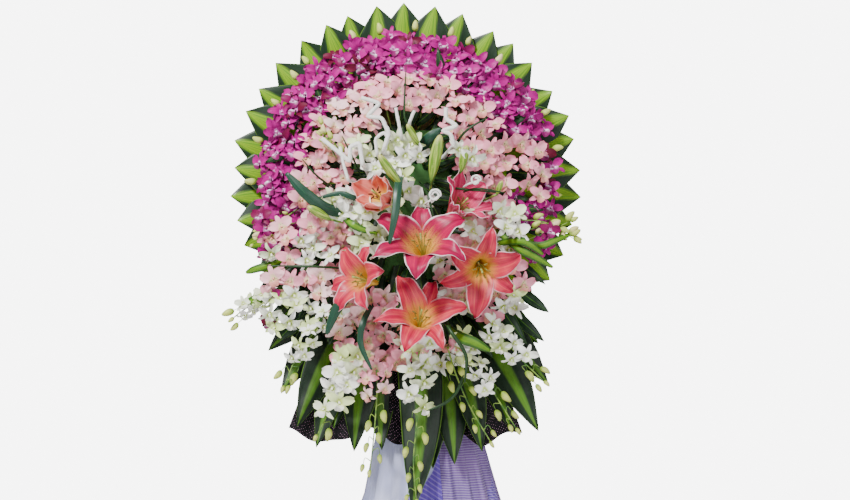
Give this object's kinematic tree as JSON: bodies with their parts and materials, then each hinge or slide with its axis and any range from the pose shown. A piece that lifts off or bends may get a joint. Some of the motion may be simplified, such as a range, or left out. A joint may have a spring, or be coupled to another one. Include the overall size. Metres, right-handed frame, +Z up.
{
  "type": "standing sympathy spray on a cloth-skirted stand",
  "caption": "Round sympathy spray of orchids, lilies and pointed leaves with hanging sprays, on a wooden tripod hidden by a flared cloth skirt.",
  "frame": {"origin": "on the floor, under the middle of the whole object's box", "axes": "+Z up, -Y towards the front that the flowers face, +X to the right as seen from the front"},
  "size_m": [0.7782, 0.611, 1.54],
  "materials": {
    "stand_wood": "planed raw softwood battens, dull",
    "board_wood": "raw plywood, dull, splintery sawn edge",
    "foam": "soaked open-cell flower foam, dull green, crumbly",
    "leaf": "waxy dark green leaf with a lime stripe along the fold, satin",
    "net": "open black gauze with fine pinkish glitter dots",
    "skirt_pale": "thin pale lavender cloth, soft sheen",
    "skirt_purple": "thin purple cloth with fine crinkled ribs, soft sheen",
    "petal_magenta": "velvety orchid petal, hot magenta with a pale heart",
    "petal_pink": "velvety orchid petal, blush pink with a cream heart",
    "petal_white": "velvety orchid petal, white with a lime heart",
    "petal_lily": "waxy lily petal, salmon pink, crimson midrib, gold throat, white edge",
    "bud_green": "smooth waxy lime-green bud skin, satin",
    "twig_white": "crooked twig coated in white flock, dull"
  },
  "bodies": {
    "root": {"stand_mast": "stand_wood", "back_rail_1": "stand_wood", "back_rail_2": "stand_wood", "stand_leg_front_left": "stand_wood", "stand_leg_front_right": "stand_wood", "stand_leg_rear": "stand_wood", "stand_brace": "stand_wood", "backing_board": "board_wood", "lily_main": "petal_lily", "lily_bottom": "petal_lily", "lily_right": "petal_lily", "lily_left": "petal_lily", "lily_half_open": "petal_lily", "lily_side": "petal_lily", "lily_bud_tall": "bud_green", "lily_bud_small": "bud_green", "lily_bud_slant": "bud_green", "lily_bud_left": "bud_green", "white_twig_left": "twig_white", "white_twig_right": "twig_white", "collar_fan_1": "leaf", "collar_fan_2": "leaf", "collar_fan_3": "leaf", "collar_fan_4": "leaf", "collar_fan_5": "leaf", "collar_fan_6": "leaf", "collar_fan_7": "leaf", "lower_leaf_far_left": "leaf", "lower_leaf_left": "leaf", "lower_leaf_mid_left": "leaf", "lower_leaf_centre": "leaf", "lower_leaf_mid_right": "leaf", "lower_leaf_right": "leaf", "lower_leaf_far_right": "leaf", "lower_leaf_outer_right": "leaf", "black_net": "net", "skirt_front_left": "skirt_pale", "skirt_front_right": "skirt_purple", "skirt_back": "skirt_purple", "white_crown_spray_1": "petal_white", "white_crown_spray_2": "petal_white", "white_spray_far_left": "petal_white", "white_spray_left": "petal_white", "white_spray_middle": "petal_white", "white_spray_right": "petal_white", "white_spray_far_right": "petal_white", "pink_spray_1": "petal_pink", "pink_spray_2": "petal_pink", "pink_spray_3": "petal_pink", "pink_spray_4": "petal_pink", "pink_spray_5": "petal_pink", "magenta_spray_1": "petal_magenta", "magenta_spray_2": "petal_magenta", "magenta_spray_3": "petal_magenta", "magenta_spray_4": "petal_magenta", "magenta_spray_5": "petal_magenta", "magenta_spray_6": "petal_magenta", "foam_brick_1": "foam", "foam_brick_2": "foam", "foam_brick_3": "foam"}
  },
  "joints": []
}
